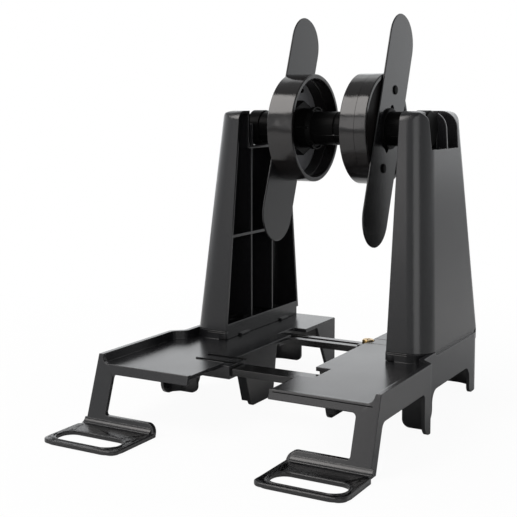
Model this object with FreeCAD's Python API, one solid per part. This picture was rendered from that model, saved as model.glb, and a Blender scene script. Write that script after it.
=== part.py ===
import FreeCAD, Part
import math
import os

# Label roll holder. All sizes in millimetres, +Z up.
# While it is drawn, x = 0 is the middle between the two halves, y = 0 is the plane of the
# spindle axis and z = 0 is the floor. At the end everything moves back so that the origin is
# the centre of the footprint.

V = FreeCAD.Vector

# Spindle and cradle
SPINDLE_Z = 182.3
SPINDLE_R = 11.65
SPINDLE_WALL = 1.6
SPINDLE_END = 66.0
SEAM_GROOVE_X = 0.9
JOURNAL_R = 12.55
JOURNAL_INNER_END = 57.8
JOURNAL_CAP = 1.5
CRADLE_CLEAR = 0.05
RUN_CLEAR = 0.05

# Core hubs
DRUM_R = 37.6
DRUM_WALL = 2.9
DRUM_STEP = 0.8
DRUM_OUT = 36.4
DRUM_IN = 17.4
DRUM_WEB = 2.2
WEB_RECESS = 1.0
WEB_BOSS_R = 19.0
SCREW_BOSS_R = 4.4
WEB_HOLE_R = 15.6
SLEEVE_WALL = 2.2
SLEEVE_FLANGE_R = 17.0
SLEEVE_FLANGE_T = 1.8
SLEEVE_IN = 16.6
LOBE_R = 14.8
LOBE_T = 3.0
LOBE_SPREAD = 33.0
LOBE_SLOT = 1.5
RING_R = 19.4
RING_T = 5.2
RING_SIDES = 8
PART_GAP = 0.08

# Guide arms
ARM_T = 1.2
ARM_REACH = 44.6
ARM_WIDTH = 41.5
ARM_TILT = 20.0
ARM_SCREW_PITCH = 56.0
ARM_SCREW_HEAD_R = 2.9
ARM_SCREW_HEAD_T = 0.7
ARM_SCREW_ROOM = 0.35
ARM_SCREW_R = 1.4
COLLAR_STAND = 1.9

# Base half, seen as the right half
HALF_IN = 27.7
DECK_Z = 36.8
DECK_T = 2.5
SKIN = 2.2
RIM_X = 95.7
RIM_T = 3.2
RIM_Z = 42.7
SEAT_STEP = 2.2
SEAT_INSET = 0.45
FRONT_Y = -149.2
FRONT_SLOPE = 0.34
FRONT_T = 2.6
JOG_FRONT = -69.0
JOG_REAR = -62.0
SLIM_X = 87.7
REAR_R = 18.0
FASCIA_LOW = 31.7
LIP_Z = 7.8
LIP_X = 44.8
STRUT_W = 13.1
EAR_W = 3.5
SKIRT_LOW = 26.8
STRUT_FLANGE = 8.0
ARCH_Z = 19.3
LEG_R = 8.0
MID_LEG_FRONT = -80.5
MID_LEG_REAR = -46.0
BACK_LEG_FRONT = 27.0
BACK_LEG_X = 56.0

# Foot plate
FOOT_T = 2.6
FOOT_FRONT = -200.2
FOOT_X = 98.4
FOOT_R = 9.5
SLOT_X = (51.0, 94.0)
SLOT_MARGIN = 5.0
SLOT_W = 11.2
SLOT_R = 4.6
SLOT_RIM_W = 2.2
SLOT_RIM_H = 0.7

# Rails and sleeves
RAIL_W = 15.0
RAIL_Z0 = 29.2
RAIL_T = 4.3
FRONT_RAIL_Y = -101.2
REAR_RAIL_Y = -6.2
RAIL_FIT = 0.25
RAIL_SLOT_W = 4.8
SLEEVE_BOX_WALL = 2.0
SLEEVE_REACH = 5.4
SLEEVE_LEN = 24.0
TONGUE_LEN = 20.3
SLIT_W = 0.9
NOTCH_LEN = 10.5
NOTCH_W = 23.2
RAIL_FAR = 62.0
RAIL_ROOT = 70.0

# Clamp screw
CLAMP_HEAD_R = 4.1
CLAMP_HEAD_T = 2.2
CLAMP_R = 1.9
CLAMP_X = 26.3
NUT_AF = 7.0
NUT_T = 2.4

# Tower
TOWER_IN = 59.3
TOWER_X_LOW = 87.0
TOWER_Y_LOW = 54.0
TOWER_OVER = 12.2
TOWER_X_TOP = 77.4
TOWER_Y_TOP = 35.6
TOWER_R = 14.0
TOP_R_OUT = 12.0
TOP_R_SIDE = 8.0
TOWER_WALL = 2.2
SILL_Z = 47.2
SHELF_T = 1.6
RIB_Y = 15.3
RIB_T = 1.5
RIB_BACK = 1.7
CROSS_RIB_Z = 107.4
NOTCH_HALF = 21.0
CHEEK_T = 1.8
CENTRE_RIB_X = 72.0

# Hidden fixings
FIX_R = 1.5
FIX_HEAD_R = 3.0
FIX_HEAD_T = 1.6
POST_R = 4.2
POST_X = 72.0
POST_Y = 27.0
POST_TOP = 46.6
FIX_CLEAR = 0.2
FIX_BACK = 8.0
FIX_BITE = 9.0
RAIL_BITE = 5.2

SEAM_Z = RIM_Z
TOWER_TOP = SPINDLE_Z + TOWER_OVER
ARM_LENGTH = 2 * (DRUM_R + ARM_REACH)
SHELF_Z = SPINDLE_Z - JOURNAL_R - CRADLE_CLEAR
RAIL_Z1 = RAIL_Z0 + RAIL_T
SLEEVE_R = SPINDLE_R + RUN_CLEAR + SLEEVE_WALL
REAR_Y = TOWER_Y_LOW
SLOT_Y = (FOOT_FRONT + SLOT_MARGIN, FOOT_FRONT + SLOT_MARGIN + SLOT_W)
SCREW_X = RAIL_ROOT - FIX_BACK
MOVE_Y = -(FOOT_FRONT + REAR_Y) / 2


def front_at(z):
    """y of the leaning front plane at height z."""
    return FRONT_Y + FRONT_SLOPE * (z - DECK_Z)


def outline(points, plane):
    """Closed wire through (u, v, r) corners, each corner rounded by its own radius r."""
    corners = []
    for i, (u, v, r) in enumerate(points):
        here = V(u, v, 0)
        last = V(points[i - 1][0], points[i - 1][1], 0) - here
        after = points[(i + 1) % len(points)]
        after = V(after[0], after[1], 0) - here
        if r <= 0:
            corners.append((here, None, here))
            continue
        last.normalize()
        after.normalize()
        half = last.getAngle(after) / 2
        cut = r / math.tan(half)
        inward = last + after
        inward.normalize()
        middle = here + inward * (r / math.sin(half) - r)
        corners.append((here + last * cut, middle, here + after * cut))
    put = {"XY": lambda p: V(p.x, p.y, 0),
           "XZ": lambda p: V(p.x, 0, p.y),
           "YZ": lambda p: V(0, p.x, p.y)}[plane]
    edges = []
    for i, (start, middle, end) in enumerate(corners):
        before = corners[i - 1][2]
        if (start - before).Length > 1e-6:
            edges.append(Part.makeLine(put(before), put(start)))
        if middle is not None:
            edges.append(Part.Arc(put(start), put(middle), put(end)).toShape())
    return Part.Wire(edges)


def prism(points, plane, start, end):
    """Solid with the given outline, from start to end along the axis square to its plane."""
    axis = {"XY": V(0, 0, 1), "XZ": V(0, 1, 0), "YZ": V(1, 0, 0)}[plane]
    face = Part.Face(outline(points, plane))
    face.translate(axis * start)
    return face.extrude(axis * (end - start))


def block(x0, x1, y0, y1, z0, z1):
    return Part.makeBox(x1 - x0, y1 - y0, z1 - z0, V(x0, y0, z0))


def disc_x(radius, x0, x1, y=0.0, z=SPINDLE_Z):
    return Part.makeCylinder(radius, x1 - x0, V(x0, y, z), V(1, 0, 0))


def disc_z(radius, x, y, z0, z1):
    return Part.makeCylinder(radius, z1 - z0, V(x, y, z0), V(0, 0, 1))


def fuse_all(shapes):
    body = shapes[0].multiFuse(shapes[1:]) if len(shapes) > 1 else shapes[0]
    return body.removeSplitter()


def mirrored(shape):
    return shape.mirror(V(0, 0, 0), V(1, 0, 0))


def near(edge, x=None, y=None, z=None, slack=0.01):
    """True when the middle of the edge lies on the given coordinates."""
    box = edge.BoundBox
    middle = box.Center
    wanted = ((x, middle.x), (y, middle.y), (z, middle.z))
    return all(want is None or abs(want - got) < slack for want, got in wanted)


def floor_outline(inset):
    """Plan of a base half: wide in front, stepped in beside the tower, round at the back."""
    wide = RIM_X - inset
    slim = SLIM_X - inset
    ahead = FOOT_FRONT
    return [(HALF_IN + inset, ahead, 0),
            (wide, ahead, 0),
            (wide, JOG_FRONT - inset * 0.4, 5.0),
            (slim, JOG_REAR - inset * 0.4, 5.0),
            (slim, REAR_Y - inset, REAR_R - inset),
            (HALF_IN + inset, REAR_Y - inset, 1.0)]


def tower_half(z):
    """Outer x and half depth of the tower at height z."""
    share = (z - SEAM_Z) / (TOWER_TOP - SEAM_Z)
    return (TOWER_X_LOW + (TOWER_X_TOP - TOWER_X_LOW) * share,
            TOWER_Y_LOW + (TOWER_Y_TOP - TOWER_Y_LOW) * share)


def tower_section(z, inset):
    """Corner list of the tower's outline at height z, drawn in by the inset."""
    out_x, half = tower_half(z)
    out_x, half, bend = out_x - inset, half - inset, TOWER_R - inset
    return [(TOWER_IN + inset, -half, 0), (out_x, -half, bend),
            (out_x, half, bend), (TOWER_IN + inset, half, 0)]


def corner_sweep(side, inset):
    """Slanted prism with one rounded upright corner; horizontal cuts keep their radius."""
    low_x, low_half = tower_half(SEAM_Z)
    top_x, top_half = tower_half(TOWER_TOP)
    far = -side * 2 * TOWER_Y_LOW
    near_y = side * (low_half - inset)
    inner_x = TOWER_IN - 2 * TOWER_R
    shape = [(inner_x, far, 0), (low_x - inset, far, 0),
             (low_x - inset, near_y, TOWER_R - inset), (inner_x, near_y, 0)]
    face = Part.Face(outline(shape, "XY"))
    face.translate(V(0, 0, SEAM_Z))
    return face.extrude(V(top_x - low_x, side * (top_half - low_half), TOWER_TOP - SEAM_Z))


def tapered_block(inset, top_inset):
    """Tapered tower body: flat sides, rounded outer corners and a rounded top."""
    top = TOWER_TOP - top_inset
    low_x, low_half = tower_half(SEAM_Z)
    top_x, top_half = tower_half(top)
    inner = TOWER_IN + inset
    across = [(inner, SEAM_Z, 0), (low_x - inset, SEAM_Z, 0),
              (top_x - inset, top, TOP_R_OUT - top_inset), (inner, top, 0)]
    along = [(-low_half + inset, SEAM_Z, 0), (low_half - inset, SEAM_Z, 0),
             (top_half - inset, top, TOP_R_SIDE - top_inset),
             (-top_half + inset, top, TOP_R_SIDE - top_inset)]
    body = corner_sweep(-1, inset).common(corner_sweep(1, inset))
    body = body.common(prism(across, "XZ", -TOWER_Y_LOW, TOWER_Y_LOW))
    return body.common(prism(along, "YZ", TOWER_IN, TOWER_X_LOW))


def leaning_slab(thick):
    """Slab that lies along the leaning front plane, thickness measured square to it."""
    depth = thick * math.hypot(1, FRONT_SLOPE)
    low, high = -1.0, RIM_Z + 1.0
    side = [(front_at(low), low, 0), (front_at(high), high, 0),
            (front_at(high) + depth, high, 0), (front_at(low) + depth, low, 0)]
    return prism(side, "YZ", HALF_IN - 1, FOOT_X + 1)


def front_frame():
    """Fascia, strut, lip and ear, cut from one leaning plate with the window left open."""
    strut_in = RIM_X - STRUT_W
    ear_in = RIM_X - EAR_W
    shape = [(HALF_IN, DECK_Z + 0.5, 0), (HALF_IN, FASCIA_LOW, 0),
             (strut_in, FASCIA_LOW, 2.5), (strut_in, LIP_Z, 2.0),
             (LIP_X, LIP_Z, 6.0), (LIP_X, 0, 0), (RIM_X, 0, 0),
             (RIM_X, RIM_Z, 2.0), (ear_in, RIM_Z, 1.2), (ear_in, DECK_Z + 0.5, 4.5)]
    return prism(shape, "XZ", FRONT_Y - 30, FRONT_Y + 30).common(leaning_slab(FRONT_T))


def foot_plate():
    bend = front_at(FOOT_T) + 2.0
    shape = [(LIP_X, bend, 0), (LIP_X, FOOT_FRONT, FOOT_R), (FOOT_X, FOOT_FRONT, FOOT_R),
             (FOOT_X, front_at(0) - 4.5, 1.5), (RIM_X, front_at(0) - 1.8, 1.5), (RIM_X, bend, 0)]
    plate = prism(shape, "XY", 0, FOOT_T)
    top = [e for e in plate.Edges if near(e, z=FOOT_T) and e.BoundBox.YMin < bend - 3]
    plate = plate.makeChamfer(0.5, top)

    def slot(grow):
        return [(SLOT_X[0] - grow, SLOT_Y[0] - grow, SLOT_R + grow),
                (SLOT_X[1] + grow, SLOT_Y[0] - grow, SLOT_R + grow),
                (SLOT_X[1] + grow, SLOT_Y[1] + grow, SLOT_R + grow),
                (SLOT_X[0] - grow, SLOT_Y[1] + grow, SLOT_R + grow)]

    rim = prism(slot(SLOT_RIM_W), "XY", FOOT_T - 0.5, FOOT_T + SLOT_RIM_H)
    rim = rim.makeChamfer(0.5, [e for e in rim.Edges if near(e, z=FOOT_T + SLOT_RIM_H)])
    plate = plate.fuse(rim)
    return plate.cut(prism(slot(0), "XY", -1, FOOT_T + 2))


def side_profile():
    """Lower edge of the outer wall: strut flange, middle leg and back leg with arches between."""
    knee = front_at(SKIRT_LOW) + STRUT_FLANGE
    return [(front_at(0), 0, 0), (front_at(0) + STRUT_FLANGE, 0, 0),
            (knee, SKIRT_LOW, 5.0), (MID_LEG_FRONT, SKIRT_LOW, 3.5),
            (MID_LEG_FRONT, 0, LEG_R), (MID_LEG_REAR, 0, LEG_R),
            (MID_LEG_REAR, ARCH_Z, 8.0), (BACK_LEG_FRONT, ARCH_Z, 9.0),
            (BACK_LEG_FRONT, 0, 5.0), (REAR_Y + 1, 0, 0),
            (REAR_Y + 1, RIM_Z, 0), (front_at(RIM_Z), RIM_Z, 0)]


def rear_profile():
    """Lower edge of the back wall, from the inner corner to the outer corner."""
    return [(HALF_IN, DECK_Z, 0), (HALF_IN, 0, 0), (HALF_IN + 6, 0, 2.0),
            (HALF_IN + 6, ARCH_Z, 4.0), (BACK_LEG_X, ARCH_Z, 6.0), (BACK_LEG_X, 0, 4.0),
            (TOWER_X_LOW, 0, 0), (TOWER_X_LOW, DECK_Z, 0)]


def inner_legs():
    """Plates under the inner edge of the deck: a middle leg with a flange and a back leg."""
    under = DECK_Z - 0.5
    slope = 0.325
    top_y = -86.0
    front = lambda z: top_y + slope * (DECK_Z - z)
    mid = [(front(under), under, 0), (front(0), 0, 5.0), (-44.0, 0, 5.0),
           (-41.0, 18.0, 0), (-38.3, under, 0)]
    back_front = lambda z: 22.3 + 0.53 * (DECK_Z - z)
    back = [(back_front(under), under, 0), (back_front(0), 0, 5.0),
            (REAR_Y, 0, 1.5), (REAR_Y, under, 0)]
    flange = [(front(under), under, 0), (front(3.5), 3.5, 0),
              (front(3.5) + SKIN, 3.5, 0), (front(under) + SKIN, under, 0)]
    return [prism(mid, "YZ", HALF_IN, HALF_IN + SKIN),
            prism(back, "YZ", HALF_IN, HALF_IN + SKIN),
            prism(flange, "YZ", HALF_IN, HALF_IN + 6.5)]


def rail_box(y, x0, x1, wall, low_wall):
    """Solid body of a sleeve round the rail path; the path itself is cut out later."""
    half = RAIL_W / 2 + wall
    return block(x0, x1, y - half, y + half, RAIL_Z0 - low_wall, RAIL_Z1 + SLEEVE_BOX_WALL)


def rail_path(y, x0, x1, gap):
    half = RAIL_W / 2 + gap
    return block(x0, x1, y - half, y + half, RAIL_Z0 - gap, RAIL_Z1 + gap)


def base_half(slide_y, fixed_y, clamp):
    """One base half in the right-hand position. slide_y carries the sleeve, fixed_y the root."""
    plan = floor_outline(0)
    solid_plan = prism(plan, "XY", 0, RIM_Z)
    ring = solid_plan.cut(prism(floor_outline(SKIN), "XY", -1, RIM_Z + 1))
    deck = prism(plan, "XY", DECK_Z - DECK_T, DECK_Z)
    outer = ring.common(prism(side_profile(), "YZ", 70, FOOT_X))
    outer = outer.common(block(70, FOOT_X, -200, REAR_Y, 0, DECK_Z))
    rear = ring.common(prism(rear_profile(), "XZ", REAR_Y - 22, REAR_Y))
    rear = rear.common(block(HALF_IN, 70, REAR_Y - SKIN - 1, REAR_Y, 0, DECK_Z))
    rim = solid_plan.cut(prism(floor_outline(RIM_T), "XY", -1, RIM_Z + 1))
    rim = rim.common(block(70, FOOT_X, -200, REAR_Y, DECK_Z - 1, RIM_Z))
    seat = prism(tower_section(SEAM_Z, 0), "XY", DECK_Z - 1, RIM_Z)
    seat = seat.cut(prism(tower_section(SEAM_Z, TOWER_WALL), "XY", 0, RIM_Z + 1))
    seat = seat.common(block(65.0, FOOT_X, -60, 60, DECK_Z - 1, RIM_Z))
    step = prism(floor_outline(0), "XY", RIM_Z - SEAT_STEP, RIM_Z + 1)
    step = step.cut(prism(tower_section(SEAM_Z, SEAT_INSET), "XY", 0, RIM_Z + 2))
    step = step.common(block(66.0, FOOT_X, -TOWER_Y_LOW + 14, REAR_Y, 0, RIM_Z + 2))
    cross = [(75.4, 0, 5.0), (RIM_X, 0, 0), (RIM_X, DECK_Z - 1, 0), (75.4, DECK_Z - 1, 0)]
    cross = prism(cross, "XZ", JOG_REAR - 4.0, JOG_REAR - 2.0).common(solid_plan)
    parts = [deck, outer, rear, rim, seat, cross] + inner_legs()

    sleeve_x0 = HALF_IN - SLEEVE_REACH
    parts.append(rail_box(slide_y, sleeve_x0, HALF_IN + SLEEVE_LEN, SLEEVE_BOX_WALL,
                          SLEEVE_BOX_WALL))
    parts.append(rail_box(fixed_y, HALF_IN + NOTCH_LEN, RAIL_ROOT + 3, SLEEVE_BOX_WALL,
                          SLEEVE_BOX_WALL))
    body = fuse_all(parts)

    lean = [(-260, -5, 0), (front_at(-5), -5, 0), (front_at(60), 60, 0), (-260, 60, 0)]
    body = body.cut(prism(lean, "YZ", 0, 120))
    body = fuse_all([body, front_frame(), foot_plate()])
    body = body.cut(step)

    cuts = [rail_path(slide_y, sleeve_x0 - 1, HALF_IN + SLEEVE_LEN + 1, RAIL_FIT),
            rail_path(fixed_y, HALF_IN - 1, RAIL_ROOT + PART_GAP, PART_GAP)]
    for side in (-1, 1):
        slit = slide_y + side * (RAIL_W / 2 - 0.1)
        cuts.append(block(HALF_IN - 1, HALF_IN + TONGUE_LEN, slit - SLIT_W / 2,
                          slit + SLIT_W / 2, DECK_Z - DECK_T, DECK_Z + 1))
    notch = [(HALF_IN - 1, fixed_y - NOTCH_W / 2, 0),
             (HALF_IN + NOTCH_LEN, fixed_y - NOTCH_W / 2, 1.5),
             (HALF_IN + NOTCH_LEN, fixed_y + NOTCH_W / 2, 1.5),
             (HALF_IN - 1, fixed_y + NOTCH_W / 2, 0)]
    cuts.append(prism(notch, "XY", DECK_Z - DECK_T - 1, DECK_Z + 1))
    for side in (-1, 1):
        y = side * POST_Y
        cuts.append(disc_z(FIX_R + FIX_CLEAR, POST_X, y, DECK_Z - DECK_T - 1, DECK_Z + 1))
    cuts.append(disc_z(FIX_R + FIX_CLEAR, SCREW_X, fixed_y, RAIL_Z0 - 4, RAIL_Z0 + 1))
    if clamp:
        cuts.append(disc_z(CLAMP_R + FIX_CLEAR, CLAMP_X, slide_y, RAIL_Z0 - 4, DECK_Z + 1))
        cuts.append(disc_z(CLAMP_HEAD_R + 0.5, CLAMP_X, slide_y, RAIL_Z1 + SLEEVE_BOX_WALL,
                           DECK_Z + 2))
    return fuse_all([body.cut(Part.makeCompound(cuts))])


def tower():
    """Tower in the right-hand position: tapered shell, ribs, cradle shelf and top window."""
    outer = tapered_block(0, 0)
    shell = outer.cut(tapered_block(TOWER_WALL, TOWER_WALL))

    low_half = tower_half(SILL_Z)[1] - TOWER_WALL
    top_half = tower_half(SHELF_Z - SHELF_T)[1] - TOWER_WALL
    opening = [(-low_half, SILL_Z, 0), (low_half, SILL_Z, 0),
               (top_half, SHELF_Z - SHELF_T, 0), (-top_half, SHELF_Z - SHELF_T, 0)]
    shell = shell.cut(prism(opening, "YZ", TOWER_IN - 1, TOWER_IN + TOWER_WALL + 0.5))

    beside = NOTCH_HALF + CHEEK_T
    roof = TOWER_TOP - TOWER_WALL
    roof_half = tower_half(roof)[1] - TOWER_WALL
    bay = [(beside, SHELF_Z - SHELF_T - 0.1, 0), (top_half, SHELF_Z - SHELF_T - 0.1, 0),
           (roof_half, roof, TOP_R_SIDE - TOWER_WALL), (beside, roof, 0)]
    bay = prism(bay, "YZ", TOWER_IN - 1, TOWER_IN + TOWER_WALL + 0.5)
    shell = shell.cut(bay).cut(bay.mirror(V(0, 0, 0), V(0, 1, 0)))

    full = tapered_block(TOWER_WALL / 2, TOWER_WALL / 2)
    extras = []
    for side in (-1, 1):
        y = side * RIB_Y
        extras.append(block(TOWER_IN + RIB_BACK, 100, y - RIB_T / 2, y + RIB_T / 2,
                            SILL_Z, SHELF_Z - 0.5).common(full))
    extras.append(block(TOWER_IN + RIB_BACK, 100, -80, 80, CROSS_RIB_Z - 0.9,
                        CROSS_RIB_Z + 0.9).common(full))
    pocket_out = block(TOWER_IN, 100, -NOTCH_HALF - CHEEK_T, NOTCH_HALF + CHEEK_T,
                       SHELF_Z - SHELF_T, TOWER_TOP + 1).common(outer)
    extras.append(pocket_out)
    panel = block(TOWER_IN, TOWER_IN + TOWER_WALL, -low_half, low_half,
                  DECK_Z + PART_GAP, SILL_Z)
    extras.append(panel)
    for side in (-1, 1):
        post = disc_z(POST_R, POST_X, side * POST_Y, DECK_Z + PART_GAP, POST_TOP)
        web = block(TOWER_IN + 1, 100, side * POST_Y - 0.8, side * POST_Y + 0.8,
                    SEAM_Z + 0.5, POST_TOP).common(full)
        extras.append(post.fuse(web))
        extras.append(block(TOWER_IN - 1.4, TOWER_IN + 0.5, side * 29.5 - 5.5,
                            side * 29.5 + 5.5, DECK_Z + PART_GAP, DECK_Z + 1.6))
    body = fuse_all([shell] + extras)

    well = block(TOWER_IN - 1, 100, -NOTCH_HALF, NOTCH_HALF, SHELF_Z, TOWER_TOP + 2)
    keep = block(CENTRE_RIB_X, 100, -RIB_T / 2, RIB_T / 2, SHELF_Z - 1, TOWER_TOP + 2)
    body = body.cut(well.cut(keep))
    pilots = [disc_z(FIX_R + 0.02, POST_X, side * POST_Y, 0, POST_TOP - 1) for side in (-1, 1)]
    body = body.cut(Part.makeCompound(pilots))
    cheeks = []
    gap_half = JOURNAL_R + 0.35
    for side in (-1, 1):
        y0 = side * gap_half
        y1 = side * (gap_half + CHEEK_T)
        cheek = block(TOWER_IN + 1.5, TOWER_IN + 1.5 + 6.0, min(y0, y1), max(y0, y1),
                      SHELF_Z - 0.5, SPINDLE_Z + 3.0)
        cheeks.append(cheek)
    return fuse_all([body] + cheeks)


def rail(y, x_root, x_far, slotted):
    half = RAIL_W / 2
    shape = [(x_root, y - half, 1.0), (x_far, y - half, 2.0),
             (x_far, y + half, 2.0), (x_root, y + half, 1.0)]
    body = prism(shape, "XY", RAIL_Z0, RAIL_Z1)
    if slotted:
        s = RAIL_SLOT_W / 2
        x0, x1 = sorted((x_far, x_root))
        end0 = x0 + 26.0
        end1 = x1 - 14.0
        slot = [(end0, y - s, s * 0.98), (end1, y - s, s * 0.98),
                (end1, y + s, s * 0.98), (end0, y + s, s * 0.98)]
        body = body.cut(prism(slot, "XY", RAIL_Z0 - 1, RAIL_Z1 + 1))
    side = 1 if x_root > 0 else -1
    return body.cut(disc_z(FIX_R + 0.02, side * SCREW_X, y, RAIL_Z0 - 1, RAIL_Z1 - 0.8))


def revolve_x(profile):
    """Turned body about the spindle axis from (x, radius) corners."""
    points = [V(x, 0, SPINDLE_Z + r) for x, r in profile]
    face = Part.Face(Part.makePolygon(points + points[:1]))
    return face.revolve(V(0, 0, SPINDLE_Z), V(1, 0, 0), 360)


def spindle_tube():
    inner = SPINDLE_R - SPINDLE_WALL
    g = SEAM_GROOVE_X
    body = revolve_x([(-SPINDLE_END, inner), (-SPINDLE_END, SPINDLE_R),
                      (g - 0.7, SPINDLE_R), (g, SPINDLE_R - 0.7), (g + 0.7, SPINDLE_R),
                      (SPINDLE_END, SPINDLE_R), (SPINDLE_END, inner)])
    return body


def journal():
    """Right-hand end bush: thick bush over the tube end with a chamfered closed end."""
    bore = SPINDLE_R + 0.02
    lead = 0.8
    end = SPINDLE_END + JOURNAL_CAP
    return revolve_x([(JOURNAL_INNER_END, bore), (JOURNAL_INNER_END, JOURNAL_R - 0.3),
                      (JOURNAL_INNER_END + 0.3, JOURNAL_R), (end - lead, JOURNAL_R),
                      (end, JOURNAL_R - lead), (end, 0), (SPINDLE_END + PART_GAP, 0),
                      (SPINDLE_END + PART_GAP, bore)])


def hub_drum():
    """Left-hand drum: open towards the middle, sunk web at its outer end, step in the bore."""
    x0, x1 = -DRUM_OUT, -DRUM_IN
    bore = DRUM_R - DRUM_WALL
    edge = 0.5
    sunk = x0 + WEB_RECESS
    profile = [(x0, WEB_HOLE_R), (x0, WEB_BOSS_R), (sunk, WEB_BOSS_R), (sunk, bore), (x0, bore),
               (x0, DRUM_R - edge), (x0 + edge, DRUM_R),
               (x1 - edge, DRUM_R), (x1, DRUM_R - edge), (x1, bore + 0.3),
               (x1 - 0.3, bore), (x1 - 8.5, bore), (x1 - 8.5, bore - DRUM_STEP),
               (x0 + DRUM_WEB, bore - DRUM_STEP), (x0 + DRUM_WEB, WEB_HOLE_R)]
    drum = revolve_x(profile)
    spots = [SPINDLE_Z + side * ARM_SCREW_PITCH / 2 for side in (-1, 1)]
    bosses = [tilted(disc_x(SCREW_BOSS_R, x0, sunk + 0.5, 0, z)) for z in spots]
    drum = fuse_all([drum] + bosses)
    holes = [tilted(disc_x(ARM_SCREW_R + 0.05, x0 - 1, x0 + DRUM_WEB + 2, 0, z)) for z in spots]
    return drum.cut(Part.makeCompound(holes))


def tilted(shape):
    """Turn about the spindle axis by the lean of the guide arm, top towards the back."""
    turned = shape.copy()
    turned.rotate(V(0, 0, SPINDLE_Z), V(1, 0, 0), -ARM_TILT)
    return turned


def hub_sleeve():
    """Left-hand sleeve: collar outside the arm, barrel through the drum, lobed inner end."""
    arm_out = -DRUM_OUT - PART_GAP - ARM_T
    x_out = arm_out - COLLAR_STAND
    web_in = -DRUM_OUT + DRUM_WEB
    bore = SPINDLE_R + RUN_CLEAR
    flange0 = web_in + PART_GAP
    body = revolve_x([(x_out, bore), (x_out, SLEEVE_R - 0.4), (x_out + 0.4, SLEEVE_R),
                      (flange0, SLEEVE_R), (flange0, SLEEVE_FLANGE_R),
                      (flange0 + SLEEVE_FLANGE_T, SLEEVE_FLANGE_R),
                      (flange0 + SLEEVE_FLANGE_T, SLEEVE_R), (-SLEEVE_IN - 3.0, SLEEVE_R),
                      (-SLEEVE_IN, SLEEVE_R - 1.6), (-SLEEVE_IN, bore)])
    end = -SLEEVE_IN
    ear = disc_x(LOBE_R, end - LOBE_T, end)
    ears = [ear.common(wedge_x(side, LOBE_SPREAD, end - LOBE_T, end)) for side in (-1, 1)]
    body = fuse_all([body] + ears).cut(disc_x(bore, x_out - 1, 0))
    slot_out = LOBE_R - LOBE_SLOT / 2
    slot = disc_x(slot_out, end - LOBE_T / 2, end + 1)
    slot = slot.cut(disc_x(slot_out - LOBE_SLOT, end - LOBE_T, end + 2))
    for side in (-1, 1):
        body = body.cut(slot.common(wedge_x(side, LOBE_SPREAD * 0.7, end - LOBE_T, end + 1)))
    return body


def wedge_x(side, spread, x0, x1):
    """Wedge about the spindle axis, spread degrees to each side of straight up or down."""
    far = 2 * LOBE_R
    width = far * math.tan(math.radians(spread))
    corner = [(0, SPINDLE_Z, 0), (width, SPINDLE_Z + side * far, 0),
              (-width, SPINDLE_Z + side * far, 0)]
    return prism(corner, "YZ", x0, x1)


def lock_ring():
    """Left-hand lock ring: thick eight-sided nut pressed against the sleeve flange."""
    flange0 = -DRUM_OUT + DRUM_WEB + PART_GAP
    x0 = flange0 + SLEEVE_FLANGE_T + PART_GAP
    corners = []
    for i in range(RING_SIDES):
        angle = 2 * math.pi * i / RING_SIDES
        corners.append((RING_R * math.sin(angle), SPINDLE_Z + RING_R * math.cos(angle), 0.8))
    ring = prism(corners, "YZ", x0, x0 + RING_T)
    ring = ring.makeChamfer(0.5, [e for e in ring.Edges if near(e, x=x0 + RING_T)])
    return ring.cut(disc_x(SLEEVE_R + PART_GAP, x0 - 1, x0 + RING_T + 1))


def guide_arm():
    """Left-hand guide arm: long flat bar with round ends, keyed on the sleeve."""
    x1 = -DRUM_OUT - PART_GAP
    x0 = x1 - ARM_T
    half = ARM_LENGTH / 2
    w = ARM_WIDTH / 2
    shape = [(-w, SPINDLE_Z - half, w * 0.97), (w, SPINDLE_Z - half, w * 0.97),
             (w, SPINDLE_Z + half, w * 0.97), (-w, SPINDLE_Z + half, w * 0.97)]
    arm = prism(shape, "YZ", x0, x1)
    rim = [e for e in arm.Edges if near(e, x=x0) or near(e, x=x1)]
    arm = arm.makeChamfer(0.4, rim)
    cuts = [disc_x(SLEEVE_R + PART_GAP, x0 - 1, x1 + 1)]
    for side in (-1, 1):
        cuts.append(disc_x(3.2, x0 - 1, x1 + 1, 0, SPINDLE_Z + side * (SLEEVE_R - 0.2)))
        cuts.append(disc_x(ARM_SCREW_R + 0.05, x0 - 1, x1 + 1, 0,
                           SPINDLE_Z + side * ARM_SCREW_PITCH / 2))
        cuts.append(disc_x(ARM_SCREW_HEAD_R + ARM_SCREW_ROOM, x0 - 1, x0 + ARM_SCREW_HEAD_T, 0,
                           SPINDLE_Z + side * ARM_SCREW_PITCH / 2))
    return tilted(arm.cut(Part.makeCompound(cuts)))


def arm_screws():
    """Left-hand pair of low-headed screws through arm and web, sunk in the arm."""
    x1 = -DRUM_OUT - PART_GAP
    x0 = x1 - ARM_T
    screws = []
    for side in (-1, 1):
        z = SPINDLE_Z + side * ARM_SCREW_PITCH / 2
        head = disc_x(ARM_SCREW_HEAD_R, x0 + 0.1, x0 + ARM_SCREW_HEAD_T - 0.05, 0, z)
        shank = disc_x(ARM_SCREW_R, x0 + 0.5, -DRUM_OUT + DRUM_WEB + 1.2, 0, z)
        body = head.fuse(shank).removeSplitter()
        for wide, tall in ((0.35, 1.5), (1.5, 0.35)):
            body = body.cut(block(x0 - 1, x0 + 0.45, -wide, wide, z - tall, z + tall))
        screws.append(tilted(body))
    return Part.makeCompound(screws)


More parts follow.
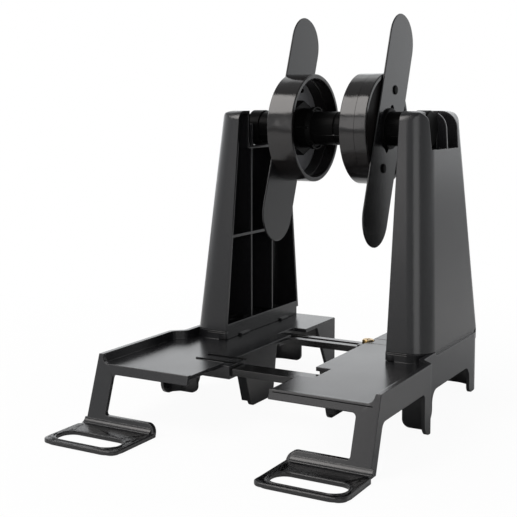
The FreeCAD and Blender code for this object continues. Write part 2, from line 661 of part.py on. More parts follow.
def clamp_screw():
    """Brass pan-head screw with a cross recess, standing through sleeve and slotted rail."""
    x, y = CLAMP_X, REAR_RAIL_Y
    seat = RAIL_Z1 + SLEEVE_BOX_WALL + 0.03
    head = disc_z(CLAMP_HEAD_R, x, y, seat, seat + CLAMP_HEAD_T)
    crown = [e for e in head.Edges if near(e, z=seat + CLAMP_HEAD_T)]
    head = head.makeChamfer(0.7, crown)
    shank = disc_z(CLAMP_R, x, y, RAIL_Z0 - SLEEVE_BOX_WALL - NUT_T - 1.2, seat + 0.5)
    body = head.fuse(shank).removeSplitter()
    long, slim = 2.3, 0.45
    for a, b in ((long, slim), (slim, long)):
        body = body.cut(block(x - a, x + a, y - b, y + b, seat + CLAMP_HEAD_T - 1.0,
                              seat + CLAMP_HEAD_T + 1))
    return body


def hex_nut():
    x, y = CLAMP_X, REAR_RAIL_Y
    top = RAIL_Z0 - SLEEVE_BOX_WALL - 0.03
    radius = NUT_AF / 2 / math.cos(math.pi / 6)
    points = []
    for i in range(7):
        angle = math.radians(60 * i)
        points.append(V(x + radius * math.cos(angle), y + radius * math.sin(angle), top - NUT_T))
    body = Part.Face(Part.makePolygon(points)).extrude(V(0, 0, NUT_T))
    return body.cut(disc_z(CLAMP_R + 0.02, x, y, top - NUT_T - 1, top + 1))


def fixing_screw(x, y, head_z, length):
    """Pan-head screw driven upwards; head_z is the face its head bears against."""
    head = disc_z(FIX_HEAD_R, x, y, head_z - 0.03 - FIX_HEAD_T, head_z - 0.03)
    edge = [e for e in head.Edges if near(e, z=head_z - 0.03 - FIX_HEAD_T)]
    head = head.makeChamfer(0.5, edge)
    body = head.fuse(disc_z(FIX_R, x, y, head_z - 0.5, head_z + length)).removeSplitter()
    return body.cut(disc_z(0.9, x, y, head_z - FIX_HEAD_T - 1, head_z - 0.8))


def tower_screws():
    screws = [fixing_screw(POST_X, side * POST_Y, DECK_Z - DECK_T, FIX_BITE) for side in (-1, 1)]
    return Part.makeCompound(screws)


os.makedirs("parts", exist_ok=True)

nodes = {
    "right_base": base_half(REAR_RAIL_Y, FRONT_RAIL_Y, True),
    "left_base": mirrored(base_half(FRONT_RAIL_Y, REAR_RAIL_Y, False)),
    "right_tower": tower(),
    "left_tower": mirrored(tower()),
    "front_rail": rail(FRONT_RAIL_Y, RAIL_ROOT, -RAIL_FAR, False),
    "rear_rail": rail(REAR_RAIL_Y, -RAIL_ROOT, RAIL_FAR, True),
    "rail_clamp_screw": clamp_screw(),
    "rail_clamp_nut": hex_nut(),
    "spindle_tube": spindle_tube(),
    "right_spindle_journal": journal(),
    "left_spindle_journal": mirrored(journal()),
    "left_hub_drum": hub_drum(),
    "right_hub_drum": mirrored(hub_drum()),
    "left_hub_sleeve": hub_sleeve(),
    "right_hub_sleeve": mirrored(hub_sleeve()),
    "left_hub_lock_ring": lock_ring(),
    "right_hub_lock_ring": mirrored(lock_ring()),
    "left_guide_arm": guide_arm(),
    "right_guide_arm": mirrored(guide_arm()),
    "left_arm_screws": arm_screws(),
    "right_arm_screws": mirrored(arm_screws()),
    "right_tower_screws": tower_screws(),
    "left_tower_screws": mirrored(tower_screws()),
    "front_rail_screw": fixing_screw(SCREW_X, FRONT_RAIL_Y, RAIL_Z0 - SLEEVE_BOX_WALL, RAIL_BITE),
    "rear_rail_screw": mirrored(fixing_screw(SCREW_X, REAR_RAIL_Y, RAIL_Z0 - SLEEVE_BOX_WALL,
                                             RAIL_BITE)),
}

for name, shape in nodes.items():
    moved = shape.copy()
    moved.translate(V(0, MOVE_Y, 0))
    moved.exportStep("parts/" + name + ".step")
    box = moved.BoundBox
    print(name, "valid", moved.isValid(), "solids", len(moved.Solids),
          [round(v, 2) for v in (box.XMin, box.XMax, box.YMin, box.YMax, box.ZMin, box.ZMax)])
print("spindle axis y", round(MOVE_Y, 2))
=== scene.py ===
# %% [markdown]
# ## Load the frame
# The CAD model arrives as one mesh per named piece, each hung on the body that moves it.
# Everything below works in metres, in the same frame, so nothing has to be fitted by eye.

# %% Load the frame
import math

import bpy
import bmesh
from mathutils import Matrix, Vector


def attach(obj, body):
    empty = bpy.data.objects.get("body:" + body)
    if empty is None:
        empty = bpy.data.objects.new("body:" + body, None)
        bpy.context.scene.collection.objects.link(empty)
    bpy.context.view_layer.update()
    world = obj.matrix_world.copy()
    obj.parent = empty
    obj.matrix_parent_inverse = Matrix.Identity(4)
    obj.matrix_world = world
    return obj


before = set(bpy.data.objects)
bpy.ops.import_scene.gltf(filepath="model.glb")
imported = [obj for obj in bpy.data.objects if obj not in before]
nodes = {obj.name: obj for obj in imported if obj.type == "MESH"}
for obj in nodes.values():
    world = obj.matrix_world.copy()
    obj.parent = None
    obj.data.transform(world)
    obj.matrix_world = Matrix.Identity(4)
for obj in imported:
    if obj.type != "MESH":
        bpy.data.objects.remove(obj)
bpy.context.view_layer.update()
scene = bpy.context.scene

# %% [markdown]
# ## Shared finish
# Moulded plastic is never one flat colour. A node group mixes a slow cloud over the base
# colour, varies the roughness and gives a fine grain for the bump, all from Object coordinates.

# %% Build the moulded plastic group
def new_group(name, inputs, outputs):
    """Empty node group with the given (name, kind, default) sockets."""
    group = bpy.data.node_groups.new(name, "ShaderNodeTree")
    for label, kind, default in inputs:
        socket = group.interface.new_socket(label, in_out="INPUT", socket_type=kind)
        if default is not None:
            socket.default_value = default
    for label, kind in outputs:
        group.interface.new_socket(label, in_out="OUTPUT", socket_type=kind)
    start = group.nodes.new("NodeGroupInput")
    end = group.nodes.new("NodeGroupOutput")
    return group, start, end


def link(tree, a, b):
    tree.links.new(a, b)


group, start, end = new_group(
    "moulded_plastic",
    [("Colour", "NodeSocketColor", (0.02, 0.02, 0.022, 1)),
     ("Cloud Colour", "NodeSocketColor", (0.03, 0.03, 0.033, 1)),
     ("Cloud Scale", "NodeSocketFloat", 14.0),
     ("Grain Scale", "NodeSocketFloat", 2600.0),
     ("Grain Depth", "NodeSocketFloat", 0.00002),
     ("Roughness Low", "NodeSocketFloat", 0.28),
     ("Roughness High", "NodeSocketFloat", 0.4),
     ("Edge Radius", "NodeSocketFloat", 0.0004),
     ("Wave Depth", "NodeSocketFloat", 0.0)],
    [("Colour", "NodeSocketColor"), ("Roughness", "NodeSocketFloat"),
     ("Normal", "NodeSocketVector")])
where = group.nodes.new("ShaderNodeTexCoord")
cloud = group.nodes.new("ShaderNodeTexNoise")
cloud.inputs["Detail"].default_value = 3.0
link(group, where.outputs["Object"], cloud.inputs["Vector"])
link(group, start.outputs["Cloud Scale"], cloud.inputs["Scale"])
blend = group.nodes.new("ShaderNodeMix")
blend.data_type = "RGBA"
link(group, cloud.outputs["Fac"], blend.inputs[0])
link(group, start.outputs["Colour"], blend.inputs[6])
link(group, start.outputs["Cloud Colour"], blend.inputs[7])
link(group, blend.outputs[2], end.inputs["Colour"])
rough = group.nodes.new("ShaderNodeMapRange")
link(group, cloud.outputs["Fac"], rough.inputs["Value"])
rough.inputs["From Min"].default_value = 0.3
rough.inputs["From Max"].default_value = 0.7
link(group, start.outputs["Roughness Low"], rough.inputs["To Min"])
link(group, start.outputs["Roughness High"], rough.inputs["To Max"])
link(group, rough.outputs["Result"], end.inputs["Roughness"])
grain = group.nodes.new("ShaderNodeTexNoise")
grain.inputs["Detail"].default_value = 2.0
link(group, where.outputs["Object"], grain.inputs["Vector"])
link(group, start.outputs["Grain Scale"], grain.inputs["Scale"])
edge = group.nodes.new("ShaderNodeBevel")
edge.samples = 6
link(group, start.outputs["Edge Radius"], edge.inputs["Radius"])
wave = group.nodes.new("ShaderNodeTexNoise")
wave.inputs["Scale"].default_value = 80.0
wave.inputs["Detail"].default_value = 1.0
link(group, where.outputs["Object"], wave.inputs["Vector"])
ripple = group.nodes.new("ShaderNodeBump")
link(group, edge.outputs["Normal"], ripple.inputs["Normal"])
link(group, wave.outputs["Fac"], ripple.inputs["Height"])
link(group, start.outputs["Wave Depth"], ripple.inputs["Distance"])
bump = group.nodes.new("ShaderNodeBump")
link(group, ripple.outputs["Normal"], bump.inputs["Normal"])
link(group, grain.outputs["Fac"], bump.inputs["Height"])
link(group, start.outputs["Grain Depth"], bump.inputs["Distance"])
link(group, bump.outputs["Normal"], end.inputs["Normal"])
print("group", group.name, "with", len(group.nodes), "nodes")

# %% [markdown]
# ## Materials
# One material for each kind of surface: the satin shells, the smoother rails and spindle, the
# glossy hubs, the duller lock rings, blackened screws and the brass clamp screw.

# %% Make the plastic materials
def plastic(name, colour, cloud_colour, rough_low, rough_high, grain=2600.0, depth=0.00002,
            shine=0.5, edge=0.0004, wave=0.0):
    """Principled material fed by the shared moulded plastic group."""
    material = bpy.data.materials.new(name)
    material.use_nodes = True
    tree = material.node_tree
    shader = tree.nodes["Principled BSDF"]
    finish = tree.nodes.new("ShaderNodeGroup")
    finish.node_tree = bpy.data.node_groups["moulded_plastic"]
    finish.inputs["Colour"].default_value = (*colour, 1)
    finish.inputs["Cloud Colour"].default_value = (*cloud_colour, 1)
    finish.inputs["Grain Scale"].default_value = grain
    finish.inputs["Grain Depth"].default_value = depth
    finish.inputs["Roughness Low"].default_value = rough_low
    finish.inputs["Roughness High"].default_value = rough_high
    finish.inputs["Edge Radius"].default_value = edge
    finish.inputs["Wave Depth"].default_value = wave
    shader.inputs["Specular IOR Level"].default_value = shine
    link(tree, finish.outputs["Colour"], shader.inputs["Base Color"])
    link(tree, finish.outputs["Roughness"], shader.inputs["Roughness"])
    link(tree, finish.outputs["Normal"], shader.inputs["Normal"])
    return material


shell = plastic("shell_black", (0.008, 0.008, 0.009), (0.011, 0.011, 0.012), 0.2, 0.26,
                edge=0.0008)
smooth = plastic("smooth_black", (0.006, 0.006, 0.006), (0.009, 0.009, 0.009), 0.14, 0.2)
hub = plastic("hub_black", (0.008, 0.007, 0.007), (0.011, 0.01, 0.01), 0.08, 0.14)
ring = plastic("ring_black", (0.002, 0.002, 0.002), (0.003, 0.003, 0.003), 0.3, 0.4, shine=0.05)
arm = plastic("arm_black", (0.008, 0.008, 0.009), (0.011, 0.011, 0.012), 0.18, 0.24)
dull = plastic("dull_black", (0.003, 0.003, 0.003), (0.005, 0.005, 0.005), 0.3, 0.4, shine=0.035)
# Near-black rough plastic for the arm screws, also used for the painted shade discs and sheets over
# the screws, rail slots and deck edge.
pit = plastic("pit_black", (0.002, 0.002, 0.002), (0.003, 0.003, 0.003), 0.5, 0.6, shine=0.06)
print("plastics", [m.name for m in (shell, smooth, hub, ring, arm, dull, pit)])

# %% [markdown]
# The drums are glossy outside and satin on the web that closes them, where the base colour is
# painted a light grey as painted light.
# The shallow recess behind each guide arm is dull, with its shine cut as painted shade. A second
# group finds those zones from the place on the drum.

# %% Build the drum zones group
HUB_Y, HUB_Z = 0.0731, 0.1823
group, start, end = new_group(
    "drum_zones", [], [("Web", "NodeSocketFloat"), ("Recess", "NodeSocketFloat"),
                       ("Seam", "NodeSocketFloat")])


def number(tree, kind, first, second):
    """Math node on two numbers or sockets; gives back its output."""
    node = tree.nodes.new("ShaderNodeMath")
    node.operation = kind
    for slot, value in zip(node.inputs, (first, second)):
        if isinstance(value, (int, float)):
            slot.default_value = value
        else:
            link(tree, value, slot)
    return node.outputs["Value"]


where = group.nodes.new("ShaderNodeTexCoord")
parts = group.nodes.new("ShaderNodeSeparateXYZ")
link(group, where.outputs["Object"], parts.inputs["Vector"])
across = number(group, "ABSOLUTE", parts.outputs["X"], 0.0)
aside = number(group, "SUBTRACT", parts.outputs["Y"], HUB_Y)
above = number(group, "SUBTRACT", parts.outputs["Z"], HUB_Z)
square = number(group, "ADD", number(group, "MULTIPLY", aside, aside),
                number(group, "MULTIPLY", above, above))
radius = number(group, "SQRT", square, 0.0)
inside = number(group, "LESS_THAN", radius, 0.0351)
web_from = number(group, "GREATER_THAN", across, 0.0336)
web_to = number(group, "LESS_THAN", across, 0.0348)
web = number(group, "MULTIPLY", inside, number(group, "MULTIPLY", web_from, web_to))
recess = number(group, "MULTIPLY", inside, number(group, "GREATER_THAN", across, 0.0349))
link(group, web, end.inputs["Web"])
link(group, recess, end.inputs["Recess"])
seam = number(group, "MULTIPLY", number(group, "GREATER_THAN", parts.outputs["X"], 0.0280),
              number(group, "LESS_THAN", parts.outputs["X"], 0.0284))
link(group, seam, end.inputs["Seam"])
print("group", group.name, "with", len(group.nodes), "nodes")

# %% Make the drum material
drum = plastic("drum_black", (0.008, 0.007, 0.007), (0.011, 0.01, 0.01), 0.08, 0.14, wave=0.0004)
tree = drum.node_tree
shader = tree.nodes["Principled BSDF"]
zones = tree.nodes.new("ShaderNodeGroup")
zones.node_tree = bpy.data.node_groups["drum_zones"]
plain = shader.inputs["Roughness"].links[0].from_socket
soft = number(tree, "ADD", plain, number(tree, "MULTIPLY", zones.outputs["Web"], 0.45))
soft = number(tree, "ADD", soft, number(tree, "MULTIPLY", zones.outputs["Recess"], 0.3))
link(tree, soft, shader.inputs["Roughness"])
# Painted shade: the recess zone cuts the shine almost to nothing, so the recess behind each arm
# reads dark as if in shadow.
shine = number(tree, "ADD", 0.5, number(tree, "MULTIPLY", zones.outputs["Recess"], -0.46))
shine = number(tree, "ADD", shine, number(tree, "MULTIPLY", zones.outputs["Web"], 0.4))
shine = number(tree, "ADD", shine, number(tree, "MULTIPLY", zones.outputs["Seam"], -0.3))
link(tree, shine, shader.inputs["Specular IOR Level"])
# Painted light: the web zone's base colour is mixed to a light grey, standing in for the light the
# web catches from the right.
shade = tree.nodes.new("ShaderNodeMix")
shade.data_type = "RGBA"
link(tree, zones.outputs["Web"], shade.inputs[0])
link(tree, shader.inputs["Base Color"].links[0].from_socket, shade.inputs[6])
shade.inputs[7].default_value = (0.2, 0.2, 0.21, 1)
link(tree, shade.outputs[2], shader.inputs["Base Color"])
print("drum material", drum.name)

# %% Make the metal materials
def metal(name, colour, worn, rough_low, rough_high):
    """Metal with a fine brushed variation between two colours."""
    material = bpy.data.materials.new(name)
    material.use_nodes = True
    tree = material.node_tree
    shader = tree.nodes["Principled BSDF"]
    shader.inputs["Metallic"].default_value = 1.0
    where = tree.nodes.new("ShaderNodeTexCoord")
    noise = tree.nodes.new("ShaderNodeTexNoise")
    noise.inputs["Scale"].default_value = 420.0
    noise.inputs["Detail"].default_value = 3.0
    link(tree, where.outputs["Object"], noise.inputs["Vector"])
    ramp = tree.nodes.new("ShaderNodeValToRGB")
    ramp.color_ramp.elements[0].position = 0.35
    ramp.color_ramp.elements[0].color = (*colour, 1)
    ramp.color_ramp.elements[1].position = 0.7
    ramp.color_ramp.elements[1].color = (*worn, 1)
    link(tree, noise.outputs["Fac"], ramp.inputs["Fac"])
    link(tree, ramp.outputs["Color"], shader.inputs["Base Color"])
    spread = tree.nodes.new("ShaderNodeMapRange")
    link(tree, noise.outputs["Fac"], spread.inputs["Value"])
    spread.inputs["To Min"].default_value = rough_low
    spread.inputs["To Max"].default_value = rough_high
    link(tree, spread.outputs["Result"], shader.inputs["Roughness"])
    return material


brass = metal("clamp_brass", (0.5, 0.34, 0.14), (0.62, 0.45, 0.2), 0.22, 0.36)
screw_black = metal("screw_black", (0.03, 0.03, 0.032), (0.05, 0.05, 0.052), 0.3, 0.45)
print("metals", brass.name, screw_black.name)

# %% [markdown]
# ## Give every CAD piece its surface
# The names say what each piece is, so the finish follows from the name.

# %% Assign the materials
def finish_for(name):
    if name.startswith("rail_clamp"):
        return brass
    if "arm_screws" in name:
        return pit
    if "screw" in name:
        return screw_black
    if "journal" in name or "sleeve" in name:
        return dull
    if name == "spindle_tube":
        return dull
    if "drum" in name:
        return drum
    if "rail" in name or "spindle" in name:
        return smooth
    if "lock_ring" in name:
        return ring
    if "hub" in name:
        return hub
    if "arm" in name:
        return arm
    return shell


for name, piece in nodes.items():
    piece.data.materials.clear()
    piece.data.materials.append(finish_for(name))
    piece.data.update()
print("materials given to", len(nodes), "pieces")

# %% [markdown]
# ## Foot plates
# The real foot plates have a wider slot with a rounded lip than the plain solids. A hidden
# cutter widens the slot in each half stand, and a soft lip and a hollow fillet are laid in.

# %% Helpers for new pieces
def rounded_block(name, low, high, radius=0.0, steps=8):
    """Block from corner to corner whose upright edges are rounded; origin stays at zero."""
    bpy.ops.object.select_all(action="DESELECT")
    bpy.ops.mesh.primitive_cube_add(size=1)
    piece = bpy.context.object
    piece.name = name
    size = [b - a for a, b in zip(low, high)]
    middle = [(a + b) / 2 for a, b in zip(low, high)]
    bpy.ops.object.mode_set(mode="EDIT")
    bpy.ops.transform.resize(value=size)
    bpy.ops.transform.translate(value=middle)
    if radius:
        bpy.ops.mesh.select_all(action="DESELECT")
        bpy.ops.mesh.select_mode(type="EDGE")
        mesh = bmesh.from_edit_mesh(piece.data)
        for edge in mesh.edges:
            a, b = (v.co for v in edge.verts)
            edge.select = (a - b).xy.length < 1e-6
        bmesh.update_edit_mesh(piece.data)
        bpy.ops.mesh.bevel(offset=radius, segments=steps)
    bpy.ops.object.mode_set(mode="OBJECT")
    return piece


def apply_modifier(piece, kind, **settings):
    """Add one modifier with the given settings and apply it."""
    bpy.ops.object.select_all(action="DESELECT")
    piece.select_set(True)
    bpy.context.view_layer.objects.active = piece
    modifier = piece.modifiers.new(kind.lower(), kind)
    for key, value in settings.items():
        setattr(modifier, key, value)
    bpy.ops.object.modifier_apply(modifier=modifier.name)


def soften(piece, width, steps=3):
    """Round the sharp edges and shade the piece smooth."""
    apply_modifier(piece, "BEVEL", width=width, segments=steps, limit_method="ANGLE",
                   angle_limit=math.radians(50), harden_normals=False)
    bpy.ops.object.shade_smooth_by_angle(angle=math.radians(40))


def dress(piece, material, body):
    """Give a new piece its surface and hang it on its body."""
    piece.data.materials.clear()
    piece.data.materials.append(material)
    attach(piece, body)


def cut_from(node, cutter, body):
    """Cut a hidden helper out of a CAD piece by a live modifier."""
    cutter.hide_render = True
    cutter.hide_viewport = True
    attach(cutter, body)
    modifier = nodes[node].modifiers.new(cutter.name, "BOOLEAN")
    modifier.object = cutter
    modifier.solver = "EXACT"


print("helpers ready")

# %% Widen the slots and lay in their lips
SLOT = (0.0500, -0.1224, 0.0944, -0.1056)
LIP_WIDE = 0.0016
for side, tag in ((1, "right"), (-1, "left")):
    xs = sorted((side * SLOT[0], side * SLOT[2]))
    low, high = (xs[0], SLOT[1]), (xs[1], SLOT[3])
    grow = LIP_WIDE
    cutter = rounded_block(tag + "_slot_cutter", (low[0] - grow, low[1] - grow, -0.002),
                           (high[0] + grow, high[1] + grow, 0.006), 0.0075 + grow)
    cut_from(tag + "_base", cutter, tag + "_stand")
    lip = rounded_block(tag + "_slot_lip", (low[0] - grow, low[1] - grow, 0.0),
                        (high[0] + grow, high[1] + grow, 0.0028), 0.0075 + grow, 10)
    hole = rounded_block("hole", (low[0], low[1], -0.001), (high[0], high[1], 0.004), 0.0075, 10)
    apply_modifier(lip, "BOOLEAN", object=hole, solver="EXACT")
    bpy.data.objects.remove(hole)
    soften(lip, 0.0006)
    dress(lip, shell, tag + "_stand")
    print(lip.name, len(lip.data.polygons), "faces")

# %% Squarer outline for the foot plates
for side, tag in ((1, "right"), (-1, "left")):
    xs = sorted((side * 0.0443, side * 0.0983))
    plate = rounded_block(tag + "_toe_plate", (xs[0], -0.1270, 0.0001),
                          (xs[1], -0.0900, 0.0026), 0.0055, 8)
    for vertex in plate.data.vertices:
        if abs(vertex.co.x) < 0.06:
            vertex.co.x += side * (vertex.co.y + 0.1270) * 0.06
    xs = sorted((side * (SLOT[0] - 0.0008), side * (SLOT[2] + 0.0008)))
    hole = rounded_block("hole", (xs[0], SLOT[1] - 0.0008, -0.001),
                         (xs[1], SLOT[3] + 0.0008, 0.004), 0.0083, 10)
    apply_modifier(plate, "BOOLEAN", object=hole, solver="EXACT")
    bpy.data.objects.remove(hole)
    soften(plate, 0.0006)
    dress(plate, shell, tag + "_stand")
    print(plate.name, len(plate.data.polygons), "faces")

# %% Hollow fillet between each foot plate and its leaning lip
def fillet_strip(name, x0, x1, line):
    """Prism along x whose section is the given (y, z) outline."""
    bpy.ops.object.select_all(action="DESELECT")
    bpy.ops.mesh.primitive_circle_add(vertices=len(line), radius=0.01, fill_type="NGON")
    piece = bpy.context.object
    piece.name = name
    for vertex, (y, z) in zip(piece.data.vertices, line):
        vertex.co = (x0, y, z)
    bpy.ops.object.mode_set(mode="EDIT")
    bpy.ops.mesh.select_all(action="SELECT")
    bpy.ops.mesh.extrude_region_move(TRANSFORM_OT_translate={"value": (x1 - x0, 0, 0)})
    bpy.ops.mesh.select_all(action="SELECT")
    bpy.ops.mesh.normals_make_consistent(inside=False)
    bpy.ops.object.mode_set(mode="OBJECT")
    bpy.ops.object.shade_smooth_by_angle(angle=math.radians(40))
    return piece


def front_y(z):
    """y of the leaning front plane at height z."""
    return -0.0761 + 0.34 * (z - 0.0368)


top_z, foot_z, hollow = 0.0054, 0.0025, 0.0026
section = [(front_y(foot_z) + 0.001, foot_z), (front_y(top_z) + 0.001, top_z)]
for step in range(7):
    turn = math.radians(15 * step)
    z = top_z - (top_z - foot_z) * math.sin(turn)
    section.append((front_y(z) - 0.0001 - hollow * (1 - math.cos(turn)), z))
for side, tag in ((1, "right"), (-1, "left")):
    xs = sorted((side * 0.0470, side * 0.0972))
    strip = fillet_strip(tag + "_foot_fillet", xs[0], xs[1], section)
    dress(strip, shell, tag + "_stand")
    print(strip.name, len(strip.data.polygons), "faces")

# %% [markdown]
# ## Small moulded lines
# The tube has a fine parting line along its front, each tower foot has a narrow bead above the
# deck, and the seat of each tower is closed at its inner corner.

# %% Parting line, beads and seat corners
def bar_x(name, x0, x1, y, z, radius):
    """Thin round bar along x."""
    bpy.ops.object.select_all(action="DESELECT")
    bpy.ops.mesh.primitive_cylinder_add(vertices=12, radius=radius, depth=1)
    piece = bpy.context.object
    piece.name = name
    bpy.ops.object.mode_set(mode="EDIT")
    bpy.ops.transform.rotate(value=math.pi / 2, orient_axis="Y", center_override=(0, 0, 0))
    bpy.ops.transform.resize(value=(x1 - x0, 1, 1))
    bpy.ops.transform.translate(value=((x0 + x1) / 2, y, z))
    bpy.ops.object.mode_set(mode="OBJECT")
    bpy.ops.object.shade_smooth_by_angle(angle=math.radians(40))
    return piece


dip = math.radians(24)
line_y = HUB_Y - 0.01117 * math.cos(dip)
line_z = HUB_Z - 0.01117 * math.sin(dip)
for tag, x0, x1 in (("middle", -0.0150, 0.0150), ("left", -0.0565, -0.0400),
                    ("right", 0.0400, 0.0565)):
    line = bar_x("tube_line_" + tag, x0, x1, line_y, line_z, 0.0005)
    dress(line, smooth, "spindle")
for side, tag in ((1, "right"), (-1, "left")):
    xs = sorted((side * 0.0588, side * 0.0655))
    corner = rounded_block(tag + "_seat_corner", (xs[0], 0.0192, 0.0370), (xs[1], 0.0212, 0.0427))
    soften(corner, 0.0003, 2)
    dress(corner, shell, tag + "_stand")
    xs = sorted((side * 0.0597, side * 0.0735))
    for row, z in enumerate((0.0412, 0.0424)):
        bead = bar_x(tag + "_foot_bead_" + str(row), xs[0], xs[1], 0.0191, z, 0.0003)
        dress(bead, smooth, tag + "_stand")
for side, tag in ((1, "right"), (-1, "left")):
    xs = sorted((side * 0.0166, side * 0.0265))
    dash = bar_x(tag + "_sleeve_dash", xs[0], xs[1], HUB_Y - 0.0142, HUB_Z + 0.0008, 0.0008)
    dress(dash, smooth, tag + "_hub")
print("small lines made")

# %% Widen the tower windows towards the front
for side, tag in ((1, "right"), (-1, "left")):
    xs = sorted((side * 0.0712, side * 0.0900))
    cutter = rounded_block(tag + "_window_cutter", (xs[0], 0.0448, 0.1699),
                           (xs[1], 0.0522, 0.1980))
    cut_from(tag + "_tower", cutter, tag + "_stand")
print("windows widened")

# %% Painted shade discs over the arm screws
# Painted shade: each disc is a dark, rough sheet laid on the arm over a screw, standing in for the
# shade in the screw's hollow.
tilt = math.radians(20)
for side, tag in ((1, "right"), (-1, "left")):
    for row, reach in (("upper", 0.028), ("lower", -0.028)):
        y, z = HUB_Y + reach * math.sin(tilt), HUB_Z + reach * math.cos(tilt)
        xs = sorted((side * 0.0375, side * 0.0386))
        bpy.ops.object.select_all(action="DESELECT")
        bpy.ops.mesh.primitive_cylinder_add(vertices=32, radius=0.0031, depth=1)
        shade_disc = bpy.context.object
        shade_disc.name = tag + "_screw_shade_disc_" + row
        bpy.ops.object.mode_set(mode="EDIT")
        bpy.ops.transform.rotate(value=math.pi / 2, orient_axis="Y", center_override=(0, 0, 0))
        bpy.ops.transform.resize(value=(xs[1] - xs[0], 1, 1))
        bpy.ops.transform.translate(value=((xs[0] + xs[1]) / 2, y, z))
        bpy.ops.object.mode_set(mode="OBJECT")
        soften(shade_disc, 0.0004)
        dress(shade_disc, pit, tag + "_hub")
print("cups made")

# %% Painted shade: thin dark sheets on the left deck where the rail slots lie in shadow
for row, low, high in (("front", (-0.0495, -0.0338), (-0.0205, -0.0330)),
                       ("back", (-0.0480, -0.0220), (-0.0195, -0.0213))):
    slot_shade = rounded_block("left_rail_slot_shade_" + row, (*low, 0.0366), (*high, 0.0374))
    dress(slot_shade, pit, "left_stand")
# Painted shade: a thin dark sheet along the right deck's front edge stands in for the dark line
# there.
edge_shade = rounded_block("right_deck_edge_shade", (0.0300, -0.07655, 0.0357), (0.0915, -0.0758, 0.0362))
dress(edge_shade, pit, "right_stand")
print("slits made")

# %% [markdown]
# ## Stage
# A pale floor and a white surround. The surround is seen as white by the camera but lights the
# object more softly, through the Light Path node, and large soft lamps shape the black plastic.

# %% Floor
floor_mesh = bpy.data.meshes.new("floor")
floor_mesh.from_pydata([(-6, -6, 0), (6, -6, 0), (6, 6, 0), (-6, 6, 0)], [], [(0, 1, 2, 3)])
floor = bpy.data.objects.new("floor", floor_mesh)
scene.collection.objects.link(floor)
floor.location.z = -0.0002
floor_paint = bpy.data.materials.new("floor_paint")
floor_paint.use_nodes = True
tree = floor_paint.node_tree
shader = tree.nodes["Principled BSDF"]
where = tree.nodes.new("ShaderNodeTexCoord")
noise = tree.nodes.new("ShaderNodeTexNoise")
noise.inputs["Scale"].default_value = 3.0
link(tree, where.outputs["Object"], noise.inputs["Vector"])
tone = tree.nodes.new("ShaderNodeValToRGB")
tone.color_ramp.elements[0].color = (0.86, 0.86, 0.86, 1)
tone.color_ramp.elements[1].color = (0.9, 0.9, 0.9, 1)
link(tree, noise.outputs["Fac"], tone.inputs["Fac"])
link(tree, tone.outputs["Color"], shader.inputs["Base Color"])
shader.inputs["Roughness"].default_value = 0.8
glow = tree.nodes.new("ShaderNodeEmission")
glow.inputs["Color"].default_value = (1, 1, 1, 1)
path = tree.nodes.new("ShaderNodeLightPath")
away = tree.nodes.new("ShaderNodeVectorMath")
away.operation = "LENGTH"
link(tree, where.outputs["Object"], away.inputs[0])
fade = tree.nodes.new("ShaderNodeMapRange")
link(tree, away.outputs["Value"], fade.inputs["Value"])
fade.inputs["From Min"].default_value = 0.16
fade.inputs["From Max"].default_value = 0.5
fade.inputs["To Min"].default_value = 0.95
fade.inputs["To Max"].default_value = 1.0
share = tree.nodes.new("ShaderNodeMath")
share.operation = "MULTIPLY"
link(tree, path.outputs["Is Camera Ray"], share.inputs[0])
link(tree, fade.outputs["Result"], share.inputs[1])
white = tree.nodes.new("ShaderNodeMixShader")
link(tree, share.outputs["Value"], white.inputs["Fac"])
link(tree, shader.outputs["BSDF"], white.inputs[1])
link(tree, glow.outputs["Emission"], white.inputs[2])
link(tree, white.outputs["Shader"], tree.nodes["Material Output"].inputs["Surface"])
floor.data.materials.append(floor_paint)
print("floor", floor.name)

# %% [markdown]
# The white surround is brighter behind the object than in front of it and dims towards the
# ceiling. The flat decks and the outer faces mirror the bright part, so they read lighter.

# %% Surround
world = bpy.data.worlds.new("studio")
scene.world = world
world.use_nodes = True
tree = world.node_tree
tree.nodes.clear()
seen = tree.nodes.new("ShaderNodeBackground")
seen.inputs["Color"].default_value = (1, 1, 1, 1)
seen.inputs["Strength"].default_value = 1.0
where = tree.nodes.new("ShaderNodeTexCoord")
split = tree.nodes.new("ShaderNodeSeparateXYZ")
link(tree, where.outputs["Generated"], split.inputs["Vector"])
depth = tree.nodes.new("ShaderNodeMapRange")
link(tree, split.outputs["Y"], depth.inputs["Value"])
depth.inputs["From Min"].default_value = -0.9
depth.inputs["From Max"].default_value = 0.7
depth.inputs["To Min"].default_value = 0.68
depth.inputs["To Max"].default_value = 1.3
height = tree.nodes.new("ShaderNodeMapRange")
link(tree, split.outputs["Z"], height.inputs["Value"])
height.inputs["From Min"].default_value = 0.25
height.inputs["From Max"].default_value = 0.8
height.inputs["To Min"].default_value = 1.0
height.inputs["To Max"].default_value = 0.3
level = tree.nodes.new("ShaderNodeMath")
level.operation = "MULTIPLY"
link(tree, depth.outputs["Result"], level.inputs[0])
link(tree, height.outputs["Result"], level.inputs[1])
aside = tree.nodes.new("ShaderNodeMapRange")
link(tree, split.outputs["X"], aside.inputs["Value"])
aside.inputs["From Min"].default_value = -0.6
aside.inputs["From Max"].default_value = 0.6
aside.inputs["To Min"].default_value = 1.22
aside.inputs["To Max"].default_value = 0.68
lit = tree.nodes.new("ShaderNodeBackground")
lit.inputs["Color"].default_value = (0.97, 0.985, 1.0, 1)
strength = tree.nodes.new("ShaderNodeMath")
strength.operation = "MULTIPLY"
link(tree, level.outputs["Value"], strength.inputs[0])
link(tree, aside.outputs["Result"], strength.inputs[1])
link(tree, strength.outputs["Value"], lit.inputs["Strength"])
path = tree.nodes.new("ShaderNodeLightPath")
mix = tree.nodes.new("ShaderNodeMixShader")
out = tree.nodes.new("ShaderNodeOutputWorld")
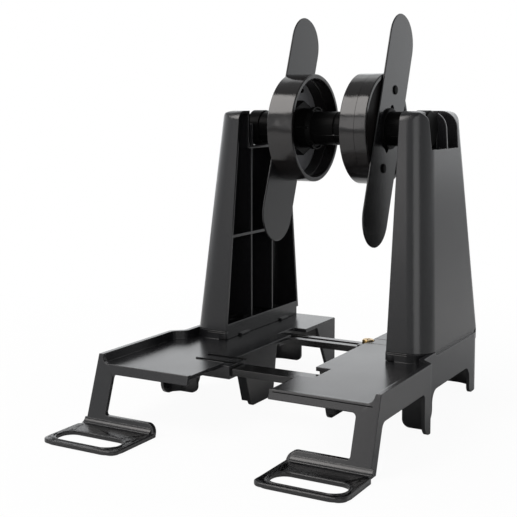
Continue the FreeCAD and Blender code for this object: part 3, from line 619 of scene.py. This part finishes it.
link(tree, path.outputs["Is Camera Ray"], mix.inputs["Fac"])
link(tree, lit.outputs["Background"], mix.inputs[1])
link(tree, seen.outputs["Background"], mix.inputs[2])
link(tree, mix.outputs["Shader"], out.inputs["Surface"])
print("surround", world.name)

# %% [markdown]
# One tall soft box stands to the left of the camera. The round drums mirror it as a pale band
# just above their middle. A weaker one over the back lifts the tops.

# %% Soft lamps
def soft_lamp(name, place, target, width, height, power, colour=(1, 1, 1)):
    """Area lamp at place, turned to look at target."""
    lamp = bpy.data.lights.new(name, "AREA")
    lamp.shape = "RECTANGLE"
    lamp.size = width
    lamp.size_y = height
    lamp.energy = power
    lamp.color = colour
    holder = bpy.data.objects.new(name, lamp)
    scene.collection.objects.link(holder)
    holder.location = place
    aim = Vector(target) - Vector(place)
    holder.rotation_euler = aim.to_track_quat("-Z", "Y").to_euler()
    return holder


hubs_at = (0, 0.073, 0.182)
soft_lamp("lamp_front_left", (-0.567, -0.67, 1.085), hubs_at, 0.8, 0.74, 10.0, (1, 0.965, 0.94))
soft_lamp("lamp_over_back", (-0.3, 0.9, 1.2), (0, 0, 0.1), 0.9, 0.6, 0.9)
soft_lamp("lamp_low_left", (-0.5, -1.18, 0.48), (0.07, 0.02, 0.13), 0.26, 0.5, 0.75, (1, 0.96, 0.95))
soft_lamp("lamp_by_camera", (0.897, -1.228, 0.3), (0.07, 0.02, 0.13), 0.8, 0.9, 3.6)
scene.view_settings.view_transform = "Standard"

# %% [markdown]
# ## Camera
# The camera was fitted to points of the photograph: it looks down a little from the right of
# the front, and a vertical shift keeps the tall holder in the square picture.

# %% Place the camera
lens = bpy.data.cameras.new("photo_camera")
lens.sensor_width = 36.0
lens.lens = 72.5
lens.shift_y = -0.1144
lens.clip_start = 0.01
camera = bpy.data.objects.new("photo_camera", lens)
scene.collection.objects.link(camera)
camera.location = (0.3094, -0.5842, 0.1973)
camera.rotation_euler = (math.radians(90 - 5.09), 0, math.radians(29.61))
scene.camera = camera
print("camera", tuple(round(v, 4) for v in camera.location))
